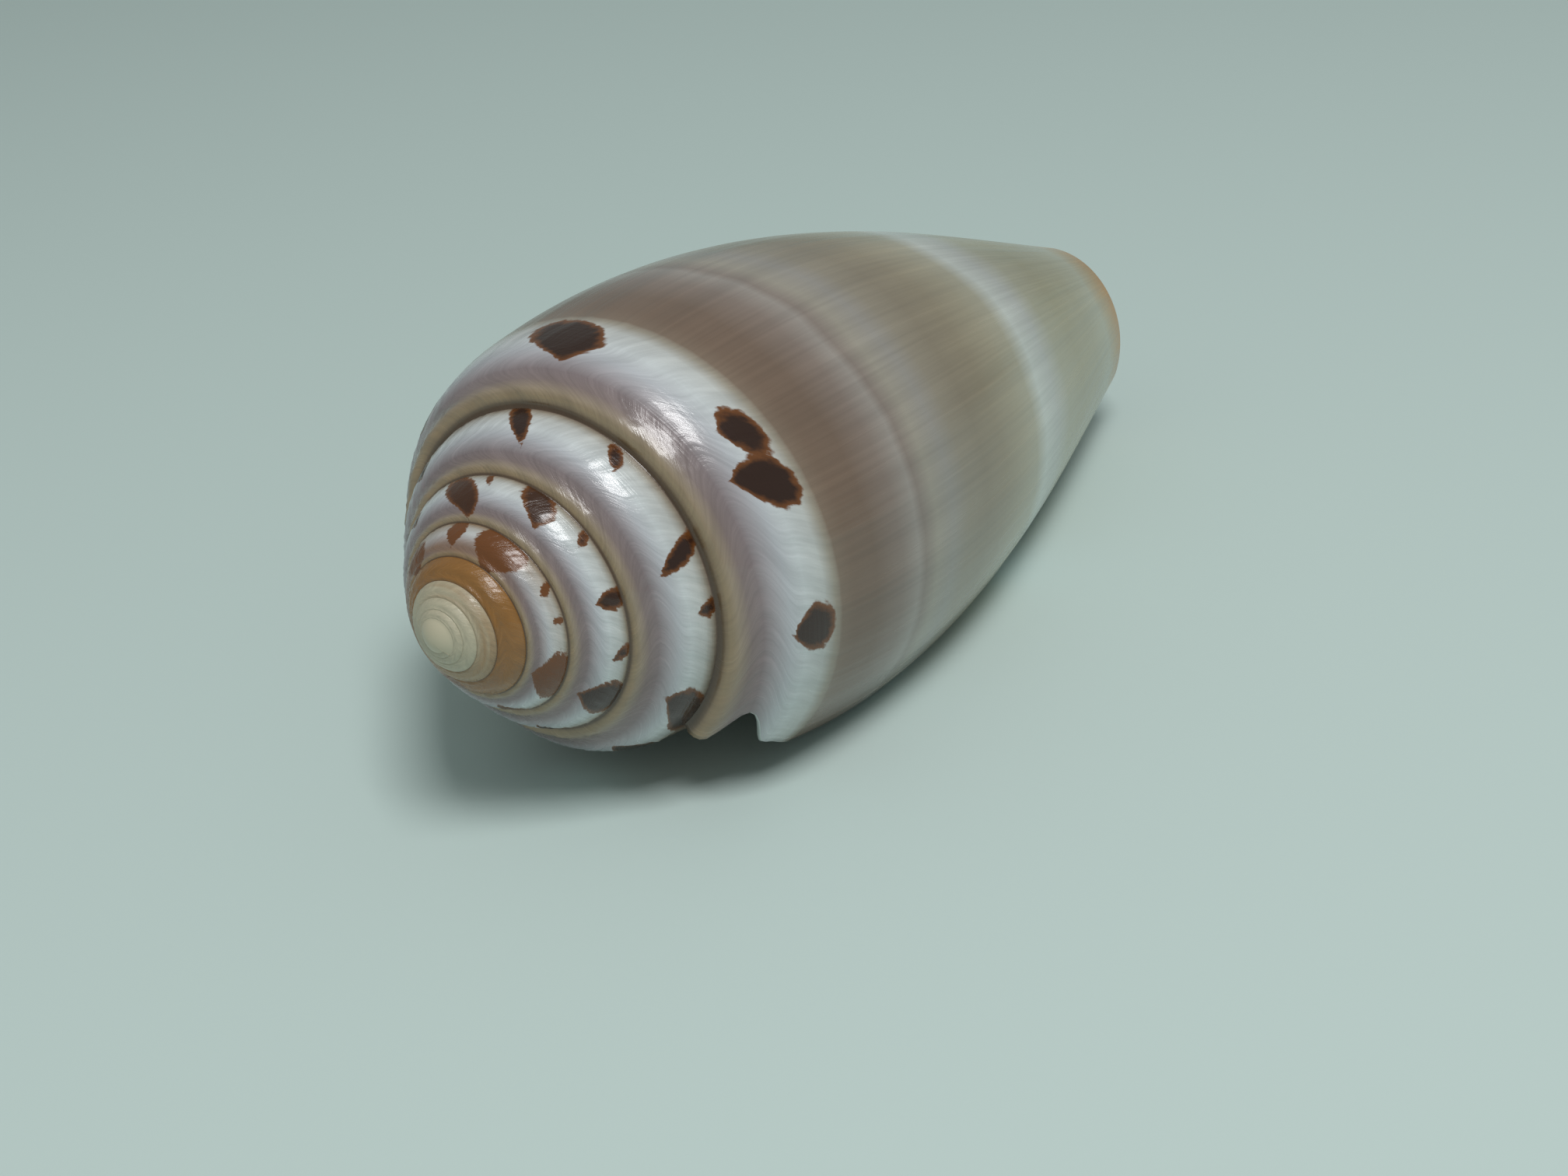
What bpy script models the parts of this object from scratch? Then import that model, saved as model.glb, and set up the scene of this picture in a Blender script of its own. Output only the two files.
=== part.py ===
# A right-handed cone shell, lying on its aperture side as it rests on a table.
# It grew as one piece, so it is one closed solid: the whorls, the spire, the thin lip
# and the spiral cavity behind the lip are lofted along one logarithmic spiral.
# Metres, +Z up. The shell lies along X with its spire towards -X, it touches Z = 0,
# and the origin is the middle of the bottom of its box.

import math

import bmesh
import bpy
from mathutils import Matrix

# Driving dimensions
shell_length = 0.055  # from the apex to the anterior end, along the shell's axis
suture_radius = 0.00935  # from the axis to the suture, where the lip starts
spire_height = 0.0097  # from the apex to that same place, along the axis
whorl_growth = 1.374  # each turn of the suture is this much wider than the one inside it
spire_curve = 1.41  # above 1 the spire's sides bulge, at 1 they are a straight cone
anterior_radius = 0.0070  # at the lip's anterior end
anterior_growth = 4.0  # growth of the open anterior end in one turn
anterior_rise = 0.0018  # slope of the open anterior end in one turn, highest at the lip
anterior_corner = 0.0008  # how far the lip's anterior corner is rounded back
body_bulge = 0.0022  # swelling of the last whorl beyond a straight cone, at the lip
lip_thickness = 0.0007
wall_thickness = 0.0012  # of the last whorl, away from the lip

# Turns count from 0 at the lip, and are negative towards the apex
apex_turn = -8.0
cavity_turns = 0.7  # how far the cavity reaches in behind the lip
steps_in_turn = 40

# How the shell lies
lip_angle = 46.5  # degrees from the level line down to the lip
nose_down = 5.7  # degrees that the axis dips towards the anterior end

# Places across a whorl: 0 at its suture, 1 where the next whorl would cover it,
# and 2 at the anterior end
ramp_places = [0.0, 0.08, 0.18, 0.32, 0.52, 0.76, 1.0]
cavity_start = 0.32  # the place under which the cavity's posterior end lies
body_steps = 13
seam = 0.0000005  # points of neighbouring patches closer than this are one point


def smooth_step(value, start, end):
    k = min(max((value - start) / (end - start), 0.0), 1.0)
    return k * k * (3.0 - 2.0 * k)


def suture(turn):
    """Radius and distance along the axis of the suture spiral."""
    radius = suture_radius * whorl_growth ** turn
    along = spire_height * (radius / suture_radius) ** spire_curve
    return radius, along


def crown_height(turn, across):
    """Height of a whorl's ramp over the straight line between its two sutures."""
    late = smooth_step(turn, -1.6, -0.2)  # the last whorl has the squarer shoulder
    power = 1.1 - 0.6 * late
    height = 0.60 - 0.13 * late
    cord = 0.030 * math.exp(-(((across - 0.09) / 0.05) ** 2))
    channel = 0.030 * math.exp(-(((across - 0.27) / 0.11) ** 2))
    fade = (1.0 - across) * min(across / 0.05, 1.0)
    return height * across ** power * (1.0 - across) + (cord - channel) * fade


def ramp_point(turn, across):
    radius_in, along_in = suture(turn)
    radius_out, along_out = suture(turn + 1.0)
    widen = radius_out - radius_in
    descend = along_out - along_in
    height = crown_height(turn, across)
    radius = radius_in + widen * across + descend * height
    along = along_in + descend * across - widen * height
    return radius, along


def body_ends(turn):
    radius_top, along_top = suture(turn + 1.0)
    radius_end = anterior_radius * anterior_growth ** turn
    along_end = shell_length + anterior_rise * min(-turn, 0.8)
    along_end -= anterior_corner * smooth_step(turn, -0.06, 0.0)
    return radius_top, along_top, radius_end, along_end


def body_point(turn, down):
    """A point on a whorl's side: down is 0 at the shoulder and 1 at the anterior end."""
    radius_top, along_top, radius_end, along_end = body_ends(turn)
    bulge = body_bulge * (1.0 + 0.24 * math.sin(0.8 * math.pi * min(-turn, 1.0)))
    if turn < -1.0:
        bulge *= whorl_growth ** (turn + 1.0)
    swelling = 3.83 * down * (1.0 - down) * (1.0 + 0.45 * (1.0 - 2.0 * down))
    radius = radius_top + (radius_end - radius_top) * down + bulge * swelling
    return radius, along_top + (along_end - along_top) * down


def outer_point(turn, across):
    if across <= 1.0:
        return ramp_point(turn, across)
    return body_point(turn, across - 1.0)


def inner_point(turn, across):
    """The wall's inner face: the outer face moved inwards by the wall's thickness."""
    before = outer_point(turn, max(across - 0.02, 0.0))
    after = outer_point(turn, min(across + 0.02, 2.0))
    run_radius = after[0] - before[0]
    run_along = after[1] - before[1]
    run = math.hypot(run_radius, run_along)
    inside = smooth_step(-turn, 0.0, 0.15) * smooth_step(2.0 - across, 0.0, 0.2)
    thickness = lip_thickness + (wall_thickness - lip_thickness) * inside
    radius, along = outer_point(turn, across)
    return radius - thickness * run_along / run, along + thickness * run_radius / run


def corner_down(turn):
    """Where the cavity's posterior corner lies on the whorl inside it."""
    along_top, along_end = body_ends(turn - 1.0)[1::2]
    along = inner_point(turn, cavity_start)[1]
    return (along - along_top) / (along_end - along_top)


def lip_shift(across):
    """The lip's edge swings back in a notch near the suture, in turns."""
    edge = [(0.0, 0.0), (0.32, -0.046), (0.62, -0.012), (1.0, 0.002), (1.5, 0.0)]
    for (start, start_shift), (end, end_shift) in zip(edge, edge[1:]):
        if across <= end:
            return start_shift + (end_shift - start_shift) * smooth_step(across, start, end)
    return 0.0


def shifted(turn, across):
    return turn + lip_shift(across) * smooth_step(turn, -0.18, 0.0)


def in_space(point, turn):
    """Turn a radius and a distance along the axis into X, Y, Z around the X axis."""
    radius, along = point
    angle = math.radians(lip_angle) + 2.0 * math.pi * turn
    return (along, -radius * math.cos(angle), -radius * math.sin(angle))


def turns_between(start, end):
    count = round((end - start) * steps_in_turn)
    return [start + (end - start) * i / count for i in range(count + 1)]


def add_patch(bm, rows):
    """Faces over a grid of points; a quad whose corners coincide closes to a triangle."""
    grid = [[bm.verts.new(point) for point in row] for row in rows]
    for row, next_row in zip(grid, grid[1:]):
        for i in range(len(row) - 1):
            bm.faces.new((row[i], next_row[i], next_row[i + 1], row[i + 1]))


def add_fan(bm, middle, rim):
    centre = bm.verts.new(middle)
    points = [bm.verts.new(point) for point in rim]
    for i, point in enumerate(points):
        bm.faces.new((centre, point, points[(i + 1) % len(points)]))


def add_spire(bm):
    rows = []
    for turn in turns_between(apex_turn, -1.0):
        rows.append([in_space(ramp_point(turn, across), turn) for across in ramp_places])
    add_patch(bm, rows)
    rim = [in_space(suture(turn), turn) for turn in turns_between(apex_turn, apex_turn + 1.0)]
    rim += rows[0][-2:0:-1]
    add_fan(bm, (0.0, 0.0, 0.0), rim)


def body_places(turn):
    """Places down a whorl's side, from the cavity's corner to the anterior end."""
    start = corner_down(turn)
    return [1.0 + start + (1.0 - start) * i / body_steps for i in range(body_steps + 1)]


def outer_row(turn, places):
    row = []
    for across in places:
        at = shifted(turn, across)
        row.append(in_space(outer_point(at, across), at))
    return row


def inner_row(turn, places):
    """The wall's inner face, starting from the cavity's posterior corner."""
    corner = in_space(body_point(turn - 1.0, corner_down(turn)), turn)
    row = []
    for across in places:
        if across < cavity_start:
            row.append(corner)
        else:
            at = shifted(turn, across)
            row.append(in_space(inner_point(at, across), at))
    return [corner] + row


def add_last_whorl(bm, places):
    add_patch(bm, [outer_row(turn, places) for turn in turns_between(-1.0, 0.0)])


def add_cavity(bm, places):
    wall_places = [across for across in places if across >= cavity_start]
    turns = turns_between(-cavity_turns, 0.0)
    wall = [inner_row(turn, wall_places) for turn in turns]
    add_patch(bm, wall)
    inside = []
    for turn in turns:
        inside.append([in_space(outer_point(turn - 1.0, at), turn) for at in body_places(turn)])
    add_patch(bm, inside)
    # the blind end joins the wall to the whorl inside it
    blind = wall[0]
    column = inside[0]
    steps = len(blind) - len(column)
    add_patch(bm, [blind, [column[0]] * steps + column])


def add_edges(bm, places):
    """The lip's edge, the rim of the anterior end, and the end of the columella."""
    edge_in = inner_row(0.0, places)[1:]
    add_patch(bm, [outer_row(0.0, places), edge_in])
    rim = []
    for turn in turns_between(-cavity_turns, 0.0):
        outside = in_space(outer_point(turn, 2.0), turn)
        rim.append([outside, in_space(inner_point(turn, 2.0), turn)])
    add_patch(bm, rim)
    loop = []
    for turn in turns_between(-1.0 - cavity_turns, -cavity_turns):
        loop.append(in_space(outer_point(turn, 2.0), turn))
    loop.append(rim[0][1])
    add_fan(bm, (shell_length + 0.5 * anterior_rise, 0.0, 0.0), loop)


def make_material():
    material = bpy.data.materials.new("glossy brown shell")
    material.use_nodes = True
    shader = material.node_tree.nodes["Principled BSDF"]
    shader.inputs["Base Color"].default_value = (0.32, 0.23, 0.17, 1.0)
    shader.inputs["Roughness"].default_value = 0.25
    shader.inputs["Metallic"].default_value = 0.0
    return material


def make_shell(collection):
    places = ramp_places + body_places(0.0)
    bm = bmesh.new()
    add_spire(bm)
    add_last_whorl(bm, places)
    add_cavity(bm, places)
    add_edges(bm, places)
    bmesh.ops.remove_doubles(bm, verts=bm.verts, dist=seam)
    bmesh.ops.recalc_face_normals(bm, faces=bm.faces)
    # lay it down, then set it on the ground with its box over the origin
    bmesh.ops.transform(bm, matrix=Matrix.Rotation(math.radians(nose_down), 4, "Y"), verts=bm.verts)
    lowest = [min(v.co[i] for v in bm.verts) for i in range(3)]
    highest = [max(v.co[i] for v in bm.verts) for i in range(3)]
    middle = [(low + high) / 2.0 for low, high in zip(lowest, highest)]
    bmesh.ops.translate(bm, vec=(-middle[0], -middle[1], -lowest[2]), verts=bm.verts)
    mesh = bpy.data.meshes.new("shell")
    bm.to_mesh(mesh)
    bm.free()
    mesh.shade_smooth()
    mesh.set_sharp_from_angle(angle=math.radians(40.0))
    mesh.materials.append(make_material())
    shell = bpy.data.objects.new("shell", mesh)
    collection.objects.link(shell)
    return shell


def main():
    for old in list(bpy.data.objects):
        bpy.data.objects.remove(old)
    collection = bpy.data.collections.new("cone shell")
    bpy.context.scene.collection.children.link(collection)
    make_shell(collection)


main()
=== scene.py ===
import math

import bmesh
import bpy
import numpy as np
from mathutils import Matrix, Vector


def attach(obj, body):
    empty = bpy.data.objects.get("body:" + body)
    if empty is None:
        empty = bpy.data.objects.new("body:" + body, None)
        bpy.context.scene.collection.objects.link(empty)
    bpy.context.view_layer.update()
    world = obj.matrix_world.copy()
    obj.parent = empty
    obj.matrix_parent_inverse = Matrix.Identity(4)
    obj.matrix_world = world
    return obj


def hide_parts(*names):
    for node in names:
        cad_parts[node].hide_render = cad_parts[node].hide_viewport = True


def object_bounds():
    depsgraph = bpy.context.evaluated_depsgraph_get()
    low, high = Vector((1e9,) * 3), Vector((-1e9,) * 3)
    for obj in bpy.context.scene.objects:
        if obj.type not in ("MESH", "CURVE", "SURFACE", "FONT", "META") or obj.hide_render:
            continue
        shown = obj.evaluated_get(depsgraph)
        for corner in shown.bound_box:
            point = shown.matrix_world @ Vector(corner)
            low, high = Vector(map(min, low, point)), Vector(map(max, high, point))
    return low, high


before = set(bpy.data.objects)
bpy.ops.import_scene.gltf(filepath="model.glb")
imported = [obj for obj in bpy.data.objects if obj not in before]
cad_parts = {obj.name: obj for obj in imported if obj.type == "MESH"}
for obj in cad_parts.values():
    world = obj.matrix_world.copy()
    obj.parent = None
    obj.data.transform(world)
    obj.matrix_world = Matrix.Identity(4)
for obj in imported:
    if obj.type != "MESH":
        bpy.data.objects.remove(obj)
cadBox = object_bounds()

# The shell is one skin, swept along a spiral. Turns count back from 0 at the lip.
# Across a whorl, 0 is its suture, 1 its shoulder and 2 its anterior end.

shellForm = {
    "length": 0.055,  # apex to anterior end, in metres like all that follows
    "sutureRadius": 0.00935,  # where the lip starts
    "spireHeight": 0.0097,
    "whorlGrowth": 1.374,
    "spireCurve": 1.41,
    "anteriorRadius": 0.0070,
    "anteriorGrowth": 4.0,
    "anteriorRise": 0.0018,
    "anteriorCorner": 0.0008,
    "bodyBulge": 0.0022,
    "apexTurn": -8.0,
    "cavityTurns": 0.7,
    "cavityStart": 0.10,  # the place across the whorl under which the cavity begins
    "wall": 0.0012,
    "lipWall": 0.00042,
    "lipAngle": 46.5,  # degrees below the level line, as the shell lies
    "noseDown": 5.7,
    "stepsInTurn": 216,
    "bodySteps": 70,
    "edgeSteps": 5,  # round the lip's edge
    "capSteps": 8,  # rings of the apex and of the columella's end
    "seam": 0.0000005,
}

# what a hand feels on the surface, in metres
shellRelief = {
    "ridge": 0.000012,  # growth ridges on the spire
    "bodyRidge": 0.000006,
    "bead": 0.00004,  # swelling along each side of a suture
    "cordWave": 0.00003,
}


def smoothStep(value, start, end):
    k = np.clip((value - start) / (end - start), 0.0, 1.0)
    return k * k * (3.0 - 2.0 * k)


def bell(value, middle, width):
    return np.exp(-(((value - middle) / width) ** 2))


def sutureAt(turn):
    radius = shellForm["sutureRadius"] * shellForm["whorlGrowth"] ** turn
    along = shellForm["spireHeight"] * (radius / shellForm["sutureRadius"]) ** shellForm["spireCurve"]
    return radius, along


def crownAt(turn, across):
    late = smoothStep(turn, -1.6, -0.2)
    power = 1.1 - 0.6 * late
    height = 0.60 - 0.13 * late
    cord = 0.030 * bell(across, 0.09, 0.05)
    channel = 0.030 * bell(across, 0.27, 0.11)
    fade = (1.0 - across) * np.minimum(across / 0.05, 1.0)
    return height * across ** power * (1.0 - across) + (cord - channel) * fade


def rampAt(turn, across):
    innerRadius, innerAlong = sutureAt(turn)
    outerRadius, outerAlong = sutureAt(turn + 1.0)
    widen = outerRadius - innerRadius
    descend = outerAlong - innerAlong
    height = crownAt(turn, across)
    return (innerRadius + widen * across + descend * height,
            innerAlong + descend * across - widen * height)


def bodyAt(turn, down):
    topRadius, topAlong = sutureAt(turn + 1.0)
    endRadius = shellForm["anteriorRadius"] * shellForm["anteriorGrowth"] ** turn
    endAlong = shellForm["length"] + shellForm["anteriorRise"] * np.minimum(-turn, 0.8)
    endAlong = endAlong - shellForm["anteriorCorner"] * smoothStep(turn, -0.06, 0.0)
    bulge = shellForm["bodyBulge"] * (1.0 + 0.24 * np.sin(0.8 * math.pi * np.minimum(-turn, 1.0)))
    bulge = bulge * shellForm["whorlGrowth"] ** np.minimum(turn + 1.0, 0.0)
    swelling = 3.83 * down * (1.0 - down) * (1.0 + 0.45 * (1.0 - 2.0 * down))
    return (topRadius + (endRadius - topRadius) * down + bulge * swelling,
            topAlong + (endAlong - topAlong) * down)


def plainAt(turn, across):
    ramp = rampAt(turn, np.clip(across, 0.0, 1.0))
    body = bodyAt(turn, np.clip(across - 1.0, 0.0, 1.0))
    return (np.where(across <= 1.0, ramp[0], body[0]),
            np.where(across <= 1.0, ramp[1], body[1]))


def lipShift(across):
    # the lip's edge swings back in a notch near the suture, in turns
    edge = [(0.0, 0.0), (0.32, -0.046), (0.62, -0.012), (1.0, 0.002), (1.5, 0.0)]
    shift = np.zeros_like(across)
    for (start, startShift), (end, endShift) in zip(edge, edge[1:]):
        part = startShift + (endShift - startShift) * smoothStep(across, start, end)
        shift = np.where((across > start) & (across <= end), part, shift)
    return shift


def shifted(turn, across):
    return turn + lipShift(across) * smoothStep(turn, -0.18, 0.0)


def facing(turn, across):
    # the way out of the surface, as a change of radius and of place along the axis
    before = plainAt(turn, np.clip(across - 0.02, 0.0, 2.0))
    after = plainAt(turn, np.clip(across + 0.02, 0.0, 2.0))
    runRadius = after[0] - before[0]
    runAlong = after[1] - before[1]
    run = np.hypot(runRadius, runAlong)
    return runAlong / run, -runRadius / run


def reliefAt(turn, across):
    growth = turn - lipShift(across)
    ridges = (np.sin(growth * 2.0 * math.pi * 41.0) + np.sin(growth * 2.0 * math.pi * 67.0 + 1.3)
              + np.sin(growth * 2.0 * math.pi * 103.0 + 0.4))
    onBody = smoothStep(across, 0.9, 1.1)
    ridge = shellRelief["ridge"] + (shellRelief["bodyRidge"] - shellRelief["ridge"]) * onBody
    size = np.minimum(shellForm["whorlGrowth"] ** turn * 1.6, 1.0)
    wave = shellRelief["cordWave"] * bell(across, 0.09, 0.05) * np.sin(growth * 2.0 * math.pi * 23.0)
    hidden = smoothStep(turn, -1.0, -0.8)  # a shoulder that no later whorl covers has no suture
    bead = shellRelief["bead"] * (1.0 - hidden) * bell(across, 0.93, 0.05)
    clear = smoothStep(across, 0.0, 0.06) * (1.0 - (1.0 - hidden) * smoothStep(across, 0.94, 1.0))
    clear = clear * (1.0 - smoothStep(across, 1.9, 2.0)) * (1.0 - smoothStep(turn, -0.02, 0.0))
    return (ridge * ridges + wave + bead) * size * clear


def outerAt(turn, across):
    radius, along = plainAt(turn, across)
    outRadius, outAlong = facing(turn, across)
    lift = np.where(turn < -1.0, np.where(across > 1.0, 0.0, 1.0), 1.0) * reliefAt(turn, across)
    lift = lift * smoothStep(np.abs(turn + 1.0), 0.0, 0.03)
    return radius + outRadius * lift, along + outAlong * lift


def innerAt(turn, across):
    inside = smoothStep(-turn, 0.0, 0.15) * smoothStep(2.0 - across, 0.0, 0.2)
    thickness = shellForm["lipWall"] + (shellForm["wall"] - shellForm["lipWall"]) * inside
    radius, along = plainAt(turn, across)
    outRadius, outAlong = facing(turn, across)
    return radius - outRadius * thickness, along - outAlong * thickness


def inSpace(profile, turn):
    radius, along = profile
    angle = math.radians(shellForm["lipAngle"]) + 2.0 * math.pi * turn
    return np.stack([along, -radius * np.cos(angle), -radius * np.sin(angle)], axis=-1)


def cornerDown(turn):
    # where the cavity's posterior corner lies on the whorl inside it
    endsTop = sutureAt(turn)[1]
    endsLow = bodyAt(turn - 1.0, np.ones_like(turn))[1]
    along = innerAt(turn, np.full_like(turn, shellForm["cavityStart"]))[1]
    return (along - endsTop) / (endsLow - endsTop)


blotches = [
    # last whorl, back from the lip
    dict(turn=-0.110, width=0.034, top=0.52, bottom=0.93, lean=0.000),
    dict(turn=-0.212, width=0.038, top=0.40, bottom=0.92, lean=0.020),
    dict(turn=-0.246, width=0.042, top=0.56, bottom=0.90, lean=0.014),
    dict(turn=-0.385, width=0.064, top=0.38, bottom=0.93, lean=-0.022),
    dict(turn=-0.535, width=0.050, top=0.35, bottom=0.90, lean=0.000),
    dict(turn=-0.640, width=0.040, top=0.48, bottom=0.92, lean=-0.010),
    dict(turn=-0.720, width=0.034, top=0.55, bottom=0.88, lean=0.000),
    dict(turn=-0.828, width=0.056, top=0.40, bottom=1.04, lean=-0.030),
    dict(turn=-0.950, width=0.038, top=0.42, bottom=1.06, lean=0.004),
    # second whorl
    dict(turn=-1.030, width=0.060, top=0.45, bottom=1.10, lean=0.040),
    dict(turn=-1.135, width=0.016, top=0.75, bottom=1.02, lean=-0.004),
    dict(turn=-1.187, width=0.021, top=0.42, bottom=1.08, lean=-0.024),
    dict(turn=-1.286, width=0.018, top=0.67, bottom=0.99, lean=-0.018),
    dict(turn=-1.384, width=0.025, top=0.36, bottom=1.10, lean=-0.038),
    dict(turn=-1.525, width=0.032, top=0.40, bottom=0.90, lean=-0.010),
    dict(turn=-1.610, width=0.026, top=0.45, bottom=1.08, lean=-0.020),
    dict(turn=-1.690, width=0.018, top=0.68, bottom=1.02, lean=-0.010),
    dict(turn=-1.765, width=0.034, top=0.40, bottom=1.08, lean=-0.020),
    dict(turn=-1.850, width=0.018, top=0.66, bottom=1.02, lean=-0.010),
    dict(turn=-1.925, width=0.030, top=0.42, bottom=1.08, lean=-0.020),
    # third whorl
    dict(turn=-2.030, width=0.062, top=0.26, bottom=1.12, lean=0.000),
    dict(turn=-2.098, width=0.018, top=0.67, bottom=1.02, lean=-0.013),
    dict(turn=-2.166, width=0.026, top=0.52, bottom=1.10, lean=0.000),
    dict(turn=-2.242, width=0.015, top=0.70, bottom=1.02, lean=-0.010),
    dict(turn=-2.306, width=0.052, top=0.38, bottom=1.12, lean=-0.034),
    dict(turn=-2.385, width=0.010, top=0.70, bottom=1.02, lean=-0.010),
    dict(turn=-2.415, width=0.058, top=0.05, bottom=0.98, lean=-0.050),
    dict(turn=-2.530, width=0.040, top=0.40, bottom=1.10, lean=-0.020),
    dict(turn=-2.625, width=0.026, top=0.50, bottom=1.05, lean=-0.010),
    dict(turn=-2.720, width=0.052, top=0.30, bottom=1.10, lean=-0.020),
    dict(turn=-2.830, width=0.026, top=0.55, bottom=1.05, lean=-0.010),
    dict(turn=-2.920, width=0.046, top=0.34, bottom=1.10, lean=-0.020),
    # fourth whorl
    dict(turn=-3.050, width=0.104, top=0.18, bottom=1.20, lean=0.000),
    dict(turn=-3.155, width=0.014, top=0.70, bottom=0.98, lean=0.000),
    dict(turn=-3.208, width=0.018, top=0.64, bottom=1.02, lean=-0.012),
    dict(turn=-3.305, width=0.100, top=-0.10, bottom=1.20, lean=0.000),
    dict(turn=-3.402, width=0.038, top=0.22, bottom=1.10, lean=0.000),
    dict(turn=-3.520, width=0.080, top=-0.10, bottom=0.85, lean=0.000),
    dict(turn=-3.680, width=0.060, top=0.20, bottom=1.10, lean=0.000),
    dict(turn=-3.840, width=0.090, top=0.00, bottom=1.10, lean=0.000),
]


def blotchAt(turn, across):
    # how far inside the nearest blotch a place is, in millimetres
    field = np.full(turn.shape, -1.0)
    radius = 1000.0 * plainAt(turn, across)[0]
    rampWidth = 1000.0 * 1.1 * (sutureAt(turn + 1.0)[0] - sutureAt(turn)[0])
    for spot in blotches:
        near = np.abs(turn - spot["turn"]) < 0.2
        span = spot["bottom"] - spot["top"]
        down = (across[near] - spot["top"]) / span
        middle = spot["turn"] + spot["lean"] * (down - 0.5)
        halfWidth = 0.5 * spot["width"] * 2.0 * math.pi * radius[near]
        halfHeight = 0.5 * span * rampWidth[near]
        taper = np.clip(down / 0.5, 0.04, 1.0) ** 0.55
        aside = (turn[near] - middle) * 2.0 * math.pi * radius[near] / (halfWidth * taper)
        reach = np.hypot(aside, np.abs(2.0 * down - 1.0) ** 1.25)
        inside = (1.0 - reach) * np.minimum(halfWidth, halfHeight)
        field[near] = np.maximum(field[near], inside)
    return np.clip(field, -1.0, 1.0)


skin = {"points": [], "faces": [], "turn": [], "across": [], "blotch": [], "material": []}
outside, lining = 0, 1


def addPatch(points, turn, across, material):
    rows, columns = points.shape[:2]
    turn = np.broadcast_to(turn, (rows, columns))
    across = np.broadcast_to(across, (rows, columns))
    start = sum(len(part) for part in skin["points"])
    place = np.arange(rows * columns).reshape(rows, columns)
    corners = np.stack([place[:-1, :-1], place[1:, :-1], place[1:, 1:], place[:-1, 1:]], axis=-1)
    corners = corners.reshape(-1, 4)
    skin["points"].append(points.reshape(-1, 3))
    skin["faces"].append(corners + start)
    skin["turn"].append(turn.reshape(-1)[corners].ravel())
    skin["across"].append(across.reshape(-1)[corners].ravel())
    skin["blotch"].append(blotchAt(turn, across).reshape(-1)[corners].ravel())
    skin["material"].append(np.full(len(corners), material))


def turnsBetween(start, end):
    count = round((end - start) * shellForm["stepsInTurn"])
    return np.linspace(start, end, count + 1)


def placesBetween(start, end, count, crowd=1.0):
    # crowd above 1 sets the places closer together near both ends
    k = np.linspace(-1.0, 1.0, count + 1)
    k = np.sign(k) * (1.0 - (1.0 - np.abs(k)) ** crowd)
    return start + (end - start) * (k + 1.0) / 2.0


rampPlaces = np.concatenate([
    [0.0, 0.02, 0.045, 0.07],
    placesBetween(shellForm["cavityStart"], 0.94, 16),
    [0.96, 0.98, 1.0],
])


def bodyPlaces(turn):
    start = cornerDown(np.array([float(turn)]))[0]
    return 1.0 + start + (1.0 - start) * np.linspace(0.0, 1.0, shellForm["bodySteps"] + 1)


def makeSpire():
    turns = turnsBetween(shellForm["apexTurn"], -1.0)[:, None]
    across = rampPlaces[None, :]
    points = inSpace(outerAt(turns, across), turns)
    addPatch(points, turns, across, outside)
    # the worn dome of the apex
    rim = inSpace(outerAt(turns, 0.0 * turns), turns)[:shellForm["stepsInTurn"] + 1, 0]
    rim = np.concatenate([rim, points[0, -2:0:-1]])
    addCap(rim, np.zeros(3), 2.2, shellForm["apexTurn"] - 0.5, 0.5, outside)


def addCap(rim, middle, roundness, turn, across, material):
    rings = []
    rim = np.concatenate([rim, rim[:1]])
    for k in np.linspace(1.0, 0.0, shellForm["capSteps"] + 1):
        ring = middle + (rim - middle) * k
        ring[:, 0] = middle[0] + (rim[:, 0] - middle[0]) * k ** roundness
        rings.append(ring)
    addPatch(np.array(rings), turn, across, material)


def makeLastWhorl():
    turns = turnsBetween(-1.0, 0.0)[:, None]
    across = np.concatenate([rampPlaces, bodyPlaces(0.0)])[None, :]
    at = shifted(turns, across)
    addPatch(inSpace(outerAt(at, across), at), at, across, outside)


def wallRows(turns, across):
    at = shifted(turns, across)
    wall = inSpace(innerAt(at, across), at)
    down = cornerDown(turns)
    corner = inSpace(bodyAt(turns - 1.0, down), turns)
    return np.concatenate([corner, wall], axis=1)


def makeCavity():
    turns = turnsBetween(-shellForm["cavityTurns"], 0.0)[:, None]
    ramp = rampPlaces[rampPlaces >= shellForm["cavityStart"]]
    across = np.concatenate([ramp, bodyPlaces(0.0)])[None, :]
    wall = wallRows(turns, across)
    addPatch(wall, turns, np.concatenate([[[0.0]], across], axis=1), lining)
    places = np.array([bodyPlaces(turn) for turn in turns[:, 0]])
    column = inSpace(outerAt(turns - 1.0, places), turns)
    addPatch(column, turns - 1.0, places, outside)
    blind = wall[0]
    steps = len(blind) - column.shape[1]
    inner = np.concatenate([np.repeat(column[0][:1], steps, axis=0), column[0]])
    addPatch(np.stack([blind, inner]), -shellForm["cavityTurns"], 1.5, lining)


def roundedEdge(outerRow, innerRow, away, bulge):
    # rows from the outer face to the inner face, bowed out along away
    rows = []
    for k in np.linspace(0.0, 1.0, shellForm["edgeSteps"] + 1):
        bow = math.sin(math.pi * k) * bulge[:, None]
        rows.append(outerRow + (innerRow - outerRow) * k + away * bow)
    return np.array(rows)


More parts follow.
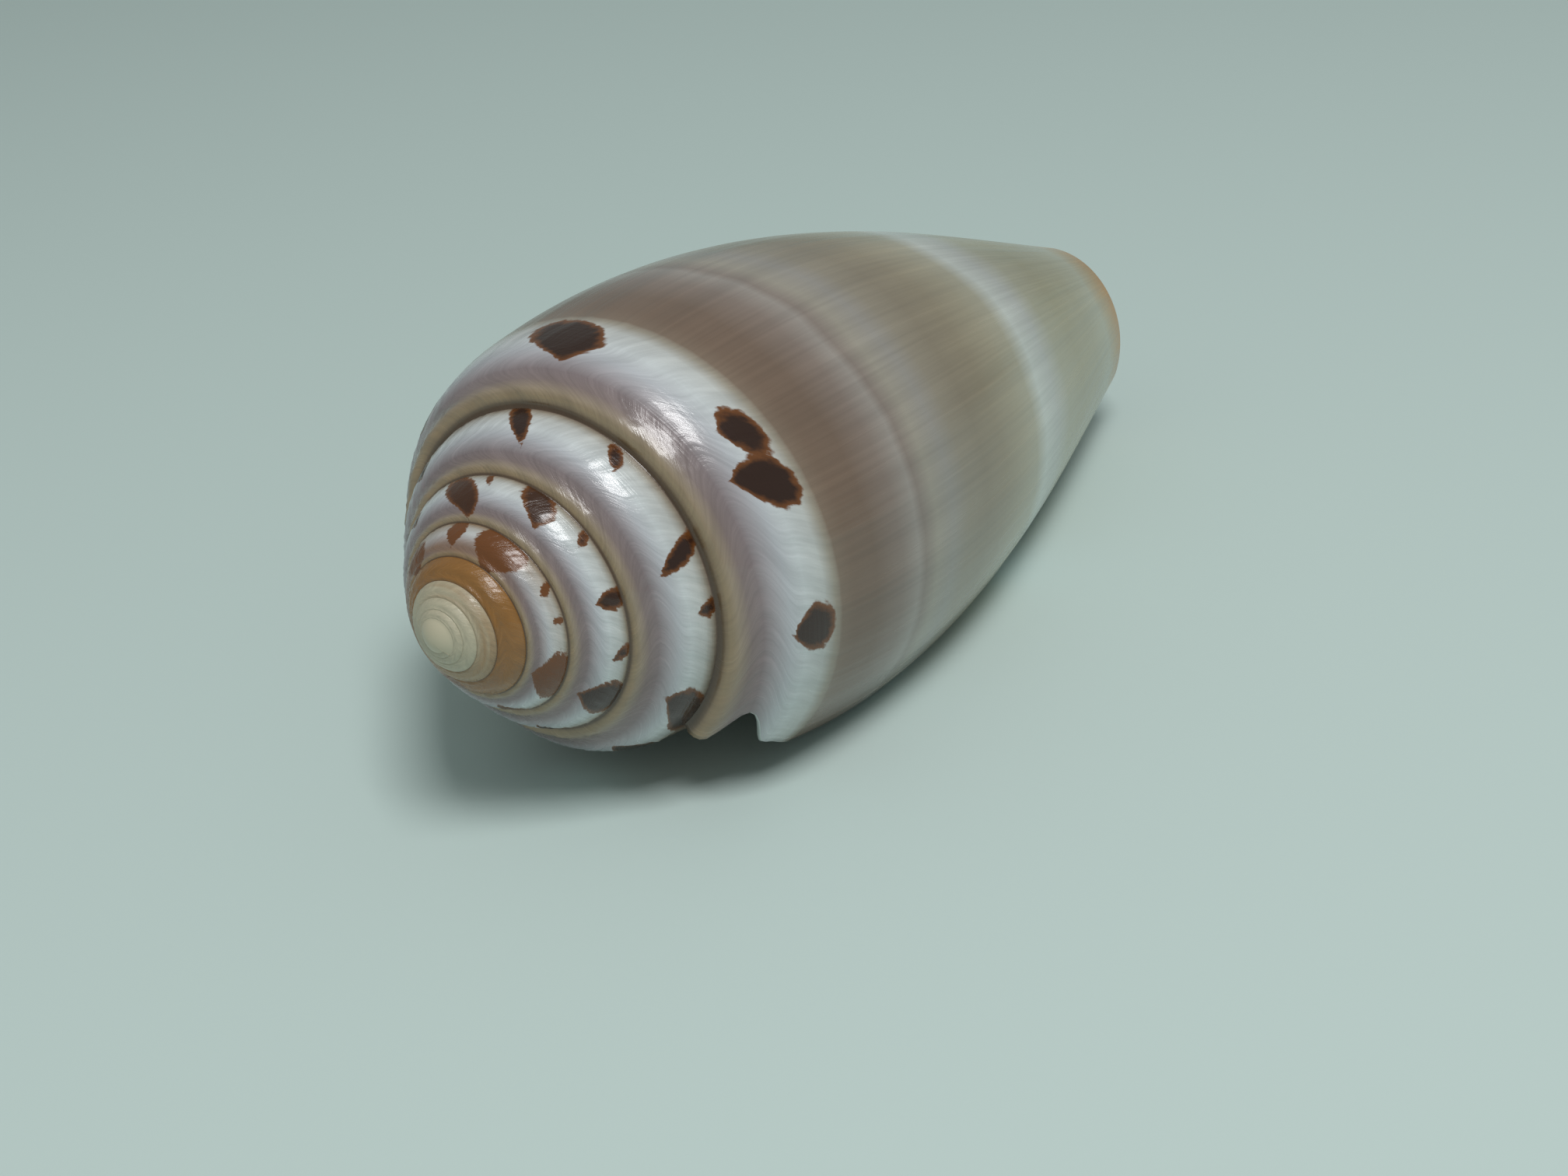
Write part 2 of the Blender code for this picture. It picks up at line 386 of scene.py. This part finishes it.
def makeEdges():
    across = np.concatenate([rampPlaces, bodyPlaces(0.0)])
    now = np.zeros_like(across)
    at = shifted(now, across)
    outerRow = inSpace(outerAt(at, across), at)
    innerRow = wallRows(now[None, :1], across[None, across >= shellForm["cavityStart"]])[0]
    spare = len(outerRow) - len(innerRow)
    innerRow = np.concatenate([np.repeat(innerRow[:1], spare, axis=0), innerRow])
    ahead = inSpace(outerAt(at + 0.001, across), at + 0.001) - outerRow
    ahead = ahead / np.linalg.norm(ahead, axis=1, keepdims=True)
    bulge = 0.5 * shellForm["lipWall"] * smoothStep(across, 0.1, 0.3) * smoothStep(2.0 - across, 0.0, 0.1)
    rows = roundedEdge(outerRow, innerRow, ahead, bulge)
    early = smoothStep(across, 0.0, 0.1)[:, None]
    for i in range(1, len(rows) - 1):
        rows[i] = innerRow + (rows[i] - innerRow) * early
    addPatch(rows, at[None, :], across[None, :], lining)

    turns = turnsBetween(-shellForm["cavityTurns"], 0.0)
    end = np.full_like(turns, 2.0)
    outerRim = inSpace(outerAt(turns, end), turns)
    innerRim = inSpace(innerAt(turns, end), turns)
    forward = np.array([1.0, 0.0, 0.0])
    bulge = 0.5 * shellForm["lipWall"] * smoothStep(-turns, 0.0, 0.03)
    rim = roundedEdge(outerRim, innerRim, forward, bulge)
    addPatch(rim, turns[None, :], 2.0, lining)

    turns = turnsBetween(-1.0 - shellForm["cavityTurns"], -shellForm["cavityTurns"])
    loop = inSpace(outerAt(turns, np.full_like(turns, 2.0)), turns)
    loop = np.concatenate([loop, rim[1:, 0]])
    middle = np.array([shellForm["length"] + 0.5 * shellForm["anteriorRise"], 0.0, 0.0])
    addCap(loop, middle, 1.0, -1.5, 2.0, outside)


def makeMesh():
    makeSpire()
    makeLastWhorl()
    makeCavity()
    makeEdges()
    mesh = bpy.data.meshes.new("shellSkin")
    mesh.from_pydata(np.concatenate(skin["points"]), [], np.concatenate(skin["faces"]))
    mesh.polygons.foreach_set("material_index", np.concatenate(skin["material"]))
    turn = np.concatenate(skin["turn"])
    across = np.concatenate(skin["across"])
    growth = turn - lipShift(across)
    for name, values in (("turn", turn), ("across", across), ("growth", growth),
                         ("blotch", np.concatenate(skin["blotch"]))):
        layer = mesh.attributes.new(name, "FLOAT", "CORNER")
        layer.data.foreach_set("value", values.astype(np.float32))

    bm = bmesh.new()
    bm.from_mesh(mesh)
    bmesh.ops.remove_doubles(bm, verts=bm.verts, dist=shellForm["seam"])
    bmesh.ops.recalc_face_normals(bm, faces=bm.faces)
    lay = Matrix.Rotation(math.radians(shellForm["noseDown"]), 4, "Y")
    bmesh.ops.transform(bm, matrix=lay, verts=bm.verts)
    # set it on the ground, over the middle of the CAD model's box
    lowest = [min(v.co[i] for v in bm.verts) for i in range(3)]
    highest = [max(v.co[i] for v in bm.verts) for i in range(3)]
    cadMiddle = (cadBox[0] + cadBox[1]) / 2.0
    shift = Vector((cadMiddle.x - (lowest[0] + highest[0]) / 2.0,
                    cadMiddle.y - (lowest[1] + highest[1]) / 2.0,
                    cadBox[0].z - lowest[2]))
    bmesh.ops.translate(bm, vec=shift, verts=bm.verts)
    print("open edges", sum(not e.is_manifold for e in bm.edges))
    bm.to_mesh(mesh)
    bm.free()
    mesh.shade_smooth()
    return mesh


# Shader helpers

def addNode(tree, kind, values={}, **settings):
    node = tree.nodes.new(kind)
    for name, value in settings.items():
        setattr(node, name, value)
    for name, value in values.items():
        if isinstance(value, bpy.types.NodeSocket):
            tree.links.new(value, node.inputs[name])
        else:
            node.inputs[name].default_value = value
    return node


def doMath(tree, operation, first, second=0.0, clamp=False):
    node = addNode(tree, "ShaderNodeMath", {0: first, 1: second}, operation=operation, use_clamp=clamp)
    return node.outputs[0]


def readAttribute(tree, name):
    return addNode(tree, "ShaderNodeAttribute", attribute_name=name).outputs["Fac"]


def ease(tree, value, start, end, low=0.0, high=1.0):
    node = addNode(tree, "ShaderNodeMapRange",
                   {"Value": value, "From Min": start, "From Max": end, "To Min": low, "To Max": high},
                   interpolation_type="SMOOTHSTEP")
    return node.outputs["Result"]


def mixColour(tree, factor, first, second, blend="MIX"):
    node = addNode(tree, "ShaderNodeMix", {0: factor, 6: first, 7: second},
                   data_type="RGBA", blend_type=blend)
    return node.outputs[2]


def colourRamp(tree, value, stops):
    node = addNode(tree, "ShaderNodeValToRGB", {"Fac": value})
    ramp = node.color_ramp
    while len(ramp.elements) < len(stops):
        ramp.elements.new(0.5)
    for element, (place, colour) in zip(ramp.elements, stops):
        element.position = place
        element.color = (*colour, 1.0)
    return node.outputs["Color"]


def stretchedNoise(tree, x, y, xScale, yScale, detail=3.0, seed=0.0):
    place = addNode(tree, "ShaderNodeCombineXYZ",
                    {"X": doMath(tree, "MULTIPLY", x, xScale),
                     "Y": doMath(tree, "MULTIPLY", y, yScale), "Z": seed})
    node = addNode(tree, "ShaderNodeTexNoise",
                   {"Vector": place.outputs[0], "Scale": 1.0, "Detail": detail, "Roughness": 0.55})
    return node.outputs["Fac"]


def newGroup(name, inputs, outputs):
    group = bpy.data.node_groups.new(name, "ShaderNodeTree")
    for label, start in inputs:
        socket = group.interface.new_socket(label, in_out="INPUT", socket_type="NodeSocketFloat")
        socket.default_value = start
    for label in outputs:
        group.interface.new_socket(label, in_out="OUTPUT", socket_type="NodeSocketFloat")
    return group, group.nodes.new("NodeGroupInput").outputs, group.nodes.new("NodeGroupOutput").inputs


def makeGrowthLines():
    # lines along the lip's edge at each age, crossed by spiral threads
    group, given, out = newGroup("growthLines",
                                 [("Growth", 0.0), ("Turn", 0.0), ("Across", 0.0),
                                  ("Lines", 240.0), ("Threads", 30.0)],
                                 ["Streaks", "Height"])
    lines = doMath(group, "MULTIPLY", given["Growth"], given["Lines"])
    fine = stretchedNoise(group, lines, given["Across"], 1.0, 3.0, 3.0)
    broad = stretchedNoise(group, lines, given["Across"], 0.16, 1.5, 2.0, 7.0)
    threads = doMath(group, "MULTIPLY", given["Across"], given["Threads"])
    thread = stretchedNoise(group, given["Turn"], threads, 26.0, 1.0, 2.0, 3.0)
    streaks = doMath(group, "ADD", doMath(group, "MULTIPLY", fine, 0.45), doMath(group, "MULTIPLY", broad, 0.55))
    group.links.new(streaks, out["Streaks"])
    height = doMath(group, "ADD", doMath(group, "MULTIPLY", fine, 0.6), doMath(group, "MULTIPLY", thread, 0.4))
    group.links.new(height, out["Height"])
    return group


outsideLook = {
    "roughness": 0.22,
    "bump": 0.35,
    "lines": 260.0,
    "threads": 34.0,
    "sutureBrown": (0.055, 0.032, 0.018),
    "blotchDark": (0.030, 0.011, 0.006),
    "blotchEdge": (0.16, 0.055, 0.014),
    "spireOrange": (0.29, 0.135, 0.035),
    "apexCream": (0.52, 0.47, 0.34),
}

# places across the ramp from suture to shoulder, and the colour at each
rampColours = [
    (0.00, (0.20, 0.135, 0.085)),
    (0.05, (0.34, 0.25, 0.15)),
    (0.11, (0.33, 0.26, 0.19)),
    (0.20, (0.24, 0.185, 0.175)),
    (0.30, (0.25, 0.20, 0.205)),
    (0.40, (0.38, 0.35, 0.37)),
    (0.52, (0.50, 0.51, 0.54)),
    (0.66, (0.62, 0.65, 0.66)),
    (0.84, (0.56, 0.57, 0.55)),
    (0.94, (0.36, 0.32, 0.26)),
    (1.00, (0.26, 0.20, 0.15)),
]

# places down the body, from 0 at the shoulder to 1 at the anterior end
bodyColours = [
    (0.00, (0.20, 0.135, 0.095)),
    (0.06, (0.19, 0.13, 0.095)),
    (0.11, (0.25, 0.195, 0.165)),
    (0.145, (0.34, 0.30, 0.27)),
    (0.16, (0.27, 0.22, 0.19)),
    (0.19, (0.36, 0.325, 0.27)),
    (0.23, (0.33, 0.305, 0.275)),
    (0.27, (0.30, 0.26, 0.20)),
    (0.32, (0.27, 0.225, 0.16)),
    (0.38, (0.30, 0.25, 0.17)),
    (0.45, (0.38, 0.335, 0.235)),
    (0.50, (0.43, 0.40, 0.30)),
    (0.545, (0.62, 0.65, 0.61)),
    (0.60, (0.52, 0.53, 0.50)),
    (0.66, (0.42, 0.40, 0.29)),
    (0.74, (0.38, 0.345, 0.22)),
    (0.84, (0.40, 0.37, 0.25)),
    (0.92, (0.46, 0.45, 0.34)),
    (0.965, (0.46, 0.34, 0.18)),
    (1.00, (0.48, 0.26, 0.08)),
]


def makeOutside(growthLines):
    look = outsideLook
    material = bpy.data.materials.new("glossyShell")
    material.use_nodes = True
    tree = material.node_tree
    shader = tree.nodes["Principled BSDF"]
    turn = readAttribute(tree, "turn")
    across = readAttribute(tree, "across")
    growth = readAttribute(tree, "growth")
    blotch = readAttribute(tree, "blotch")

    lines = addNode(tree, "ShaderNodeGroup", node_tree=growthLines)
    for name, value in (("Growth", growth), ("Turn", turn), ("Across", across)):
        tree.links.new(value, lines.inputs[name])
    lines.inputs["Lines"].default_value = look["lines"]
    lines.inputs["Threads"].default_value = look["threads"]
    streaks = lines.outputs["Streaks"]

    # bands wander a little along the coil
    wander = stretchedNoise(tree, turn, across, 9.0, 3.0, 3.0, 1.0)
    wander = doMath(tree, "MULTIPLY", doMath(tree, "SUBTRACT", wander, 0.5), 0.05)
    place = doMath(tree, "ADD", across, wander)
    ramp = colourRamp(tree, place, rampColours)
    body = colourRamp(tree, doMath(tree, "SUBTRACT", place, 1.0), bodyColours)
    colour = mixColour(tree, ease(tree, across, 0.97, 1.03), ramp, body)

    # the older spire is orange, then worn cream
    old = ease(tree, doMath(tree, "ADD", turn, stretchedNoise(tree, turn, across, 5.0, 2.0, 2.0, 9.0)), -2.4, -3.6)
    colour = mixColour(tree, old, colour, (*look["spireOrange"], 1.0))
    worn = ease(tree, doMath(tree, "ADD", turn, stretchedNoise(tree, turn, across, 3.0, 2.0, 3.0, 4.0)), -4.0, -5.2)
    colour = mixColour(tree, worn, colour, (*look["apexCream"], 1.0))

    # growth lines in the colour
    shade = ease(tree, streaks, 0.3, 0.7, 0.84, 1.08)
    shadeColour = addNode(tree, "ShaderNodeCombineColor", {"Red": shade, "Green": shade, "Blue": shade})
    colour = mixColour(tree, 1.0, colour, shadeColour.outputs[0], "MULTIPLY")

    # blotches, with a thin orange brown edge
    ragged = stretchedNoise(tree, growth, across, 160.0, 9.0, 3.0, 2.0)
    ragged = doMath(tree, "MULTIPLY", doMath(tree, "SUBTRACT", ragged, 0.5), 0.45)
    inside = doMath(tree, "ADD", blotch, ragged)
    oldBlotch = ease(tree, turn, -2.0, -3.3)
    dark = mixColour(tree, oldBlotch, (*look["blotchDark"], 1.0), (*look["blotchEdge"], 1.0))
    spot = mixColour(tree, ease(tree, inside, 0.02, 0.30), (*look["blotchEdge"], 1.0), dark)
    fresh = doMath(tree, "SUBTRACT", 1.0, doMath(tree, "MULTIPLY", worn, 0.9))
    mask = doMath(tree, "MULTIPLY", ease(tree, inside, -0.06, 0.05), fresh)
    colour = mixColour(tree, mask, colour, spot)

    # dark line in the sutures
    sutureIn = ease(tree, across, 0.035, 0.008)
    covered = doMath(tree, "LESS_THAN", turn, -1.0)
    sutureOut = doMath(tree, "MULTIPLY", doMath(tree, "MULTIPLY", ease(tree, across, 0.97, 0.995), covered),
                       doMath(tree, "LESS_THAN", across, 1.0))
    suture = doMath(tree, "MAXIMUM", sutureIn, sutureOut)
    suture = doMath(tree, "MULTIPLY", suture, doMath(tree, "MULTIPLY", fresh, 0.75))
    colour = mixColour(tree, suture, colour, (*look["sutureBrown"], 1.0))

    tree.links.new(colour, shader.inputs["Base Color"])
    rough = ease(tree, streaks, 0.3, 0.7, look["roughness"] - 0.05, look["roughness"] + 0.08)
    rough = doMath(tree, "ADD", rough, doMath(tree, "MULTIPLY", worn, 0.2))
    tree.links.new(rough, shader.inputs["Roughness"])
    bump = addNode(tree, "ShaderNodeBump",
                   {"Strength": look["bump"], "Distance": 0.00012, "Height": lines.outputs["Height"]})
    tree.links.new(bump.outputs["Normal"], shader.inputs["Normal"])
    shader.inputs["Coat Weight"].default_value = 0.25
    shader.inputs["Coat Roughness"].default_value = 0.08
    return material


liningLook = {
    "cream": (0.55, 0.44, 0.30),
    "edge": (0.55, 0.60, 0.58),
    "deep": (0.38, 0.25, 0.13),
}


def makeLining(growthLines):
    look = liningLook
    material = bpy.data.materials.new("apertureLining")
    material.use_nodes = True
    tree = material.node_tree
    shader = tree.nodes["Principled BSDF"]
    turn = readAttribute(tree, "turn")
    across = readAttribute(tree, "across")
    growth = readAttribute(tree, "growth")
    lines = addNode(tree, "ShaderNodeGroup", node_tree=growthLines)
    for name, value in (("Growth", growth), ("Turn", turn), ("Across", across)):
        tree.links.new(value, lines.inputs[name])
    lines.inputs["Lines"].default_value = 120.0
    lines.inputs["Threads"].default_value = 14.0
    colour = mixColour(tree, ease(tree, growth, -0.06, -0.3), (*look["cream"], 1.0), (*look["deep"], 1.0))
    colour = mixColour(tree, ease(tree, growth, -0.02, -0.002), colour, (*look["edge"], 1.0))
    shade = ease(tree, lines.outputs["Streaks"], 0.3, 0.7, 0.9, 1.05)
    shadeColour = addNode(tree, "ShaderNodeCombineColor", {"Red": shade, "Green": shade, "Blue": shade})
    colour = mixColour(tree, 1.0, colour, shadeColour.outputs[0], "MULTIPLY")
    tree.links.new(colour, shader.inputs["Base Color"])
    shader.inputs["Roughness"].default_value = 0.28
    bump = addNode(tree, "ShaderNodeBump",
                   {"Strength": 0.15, "Distance": 0.0001, "Height": lines.outputs["Height"]})
    tree.links.new(bump.outputs["Normal"], shader.inputs["Normal"])
    shader.inputs["Coat Weight"].default_value = 0.2
    return material


studio = {
    "floorColour": (0.60, 0.72, 0.69),
    "floorRadius": 3.0,
    "skyColour": (0.80, 0.90, 0.88),
    "skyStrength": 0.30,
    "keyAzimuth": -125.0,  # degrees from +X, seen from above
    "keyHeight": 64.0,
    "keyDistance": 0.40,
    "keySize": 0.13,
    "keyPower": 0.9,
}

cameraSetup = {
    "place": (-0.08594, -0.06237, 0.06091),
    "turned": (60.467, 4.289, -55.476),  # degrees
    "lens": 50.43,
    "sensor": 36.0,
}


def makeStudio():
    floorMesh = bpy.data.meshes.new("floor")
    bm = bmesh.new()
    bmesh.ops.create_circle(bm, cap_ends=True, segments=64, radius=studio["floorRadius"])
    bm.to_mesh(floorMesh)
    bm.free()
    material = bpy.data.materials.new("paleFloor")
    material.use_nodes = True
    shader = material.node_tree.nodes["Principled BSDF"]
    shader.inputs["Base Color"].default_value = (*studio["floorColour"], 1.0)
    shader.inputs["Roughness"].default_value = 0.6
    floorMesh.materials.append(material)
    floor = bpy.data.objects.new("floor", floorMesh)
    bpy.context.scene.collection.objects.link(floor)

    world = bpy.data.worlds.new("softRoom")
    world.use_nodes = True
    background = world.node_tree.nodes["Background"]
    background.inputs["Color"].default_value = (*studio["skyColour"], 1.0)
    background.inputs["Strength"].default_value = studio["skyStrength"]
    bpy.context.scene.world = world

    lamp = bpy.data.lights.new("key", "AREA")
    lamp.shape = "SQUARE"
    lamp.size = studio["keySize"]
    lamp.energy = studio["keyPower"]
    key = bpy.data.objects.new("key", lamp)
    azimuth = math.radians(studio["keyAzimuth"])
    height = math.radians(studio["keyHeight"])
    back = Vector((math.cos(azimuth) * math.cos(height), math.sin(azimuth) * math.cos(height), math.sin(height)))
    key.location = back * studio["keyDistance"]
    key.rotation_mode = "QUATERNION"
    key.rotation_quaternion = back.to_track_quat("Z", "Y")
    bpy.context.scene.collection.objects.link(key)

    lens = bpy.data.cameras.new("camera")
    lens.lens = cameraSetup["lens"]
    lens.sensor_width = cameraSetup["sensor"]
    lens.clip_start = 0.005
    camera = bpy.data.objects.new("camera", lens)
    camera.location = cameraSetup["place"]
    camera.rotation_euler = [math.radians(a) for a in cameraSetup["turned"]]
    bpy.context.scene.collection.objects.link(camera)
    bpy.context.scene.camera = camera
    bpy.context.scene.view_settings.view_transform = "Standard"


print("camera, lights and floor")
makeStudio()
print("shell mesh")
shellMesh = makeMesh()
growthLines = makeGrowthLines()
shellMesh.materials.append(makeOutside(growthLines))
shellMesh.materials.append(makeLining(growthLines))
shell = bpy.data.objects.new("coneShell", shellMesh)
bpy.context.scene.collection.objects.link(shell)
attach(shell, "root")
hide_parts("shell")
print("faces", len(shellMesh.polygons))
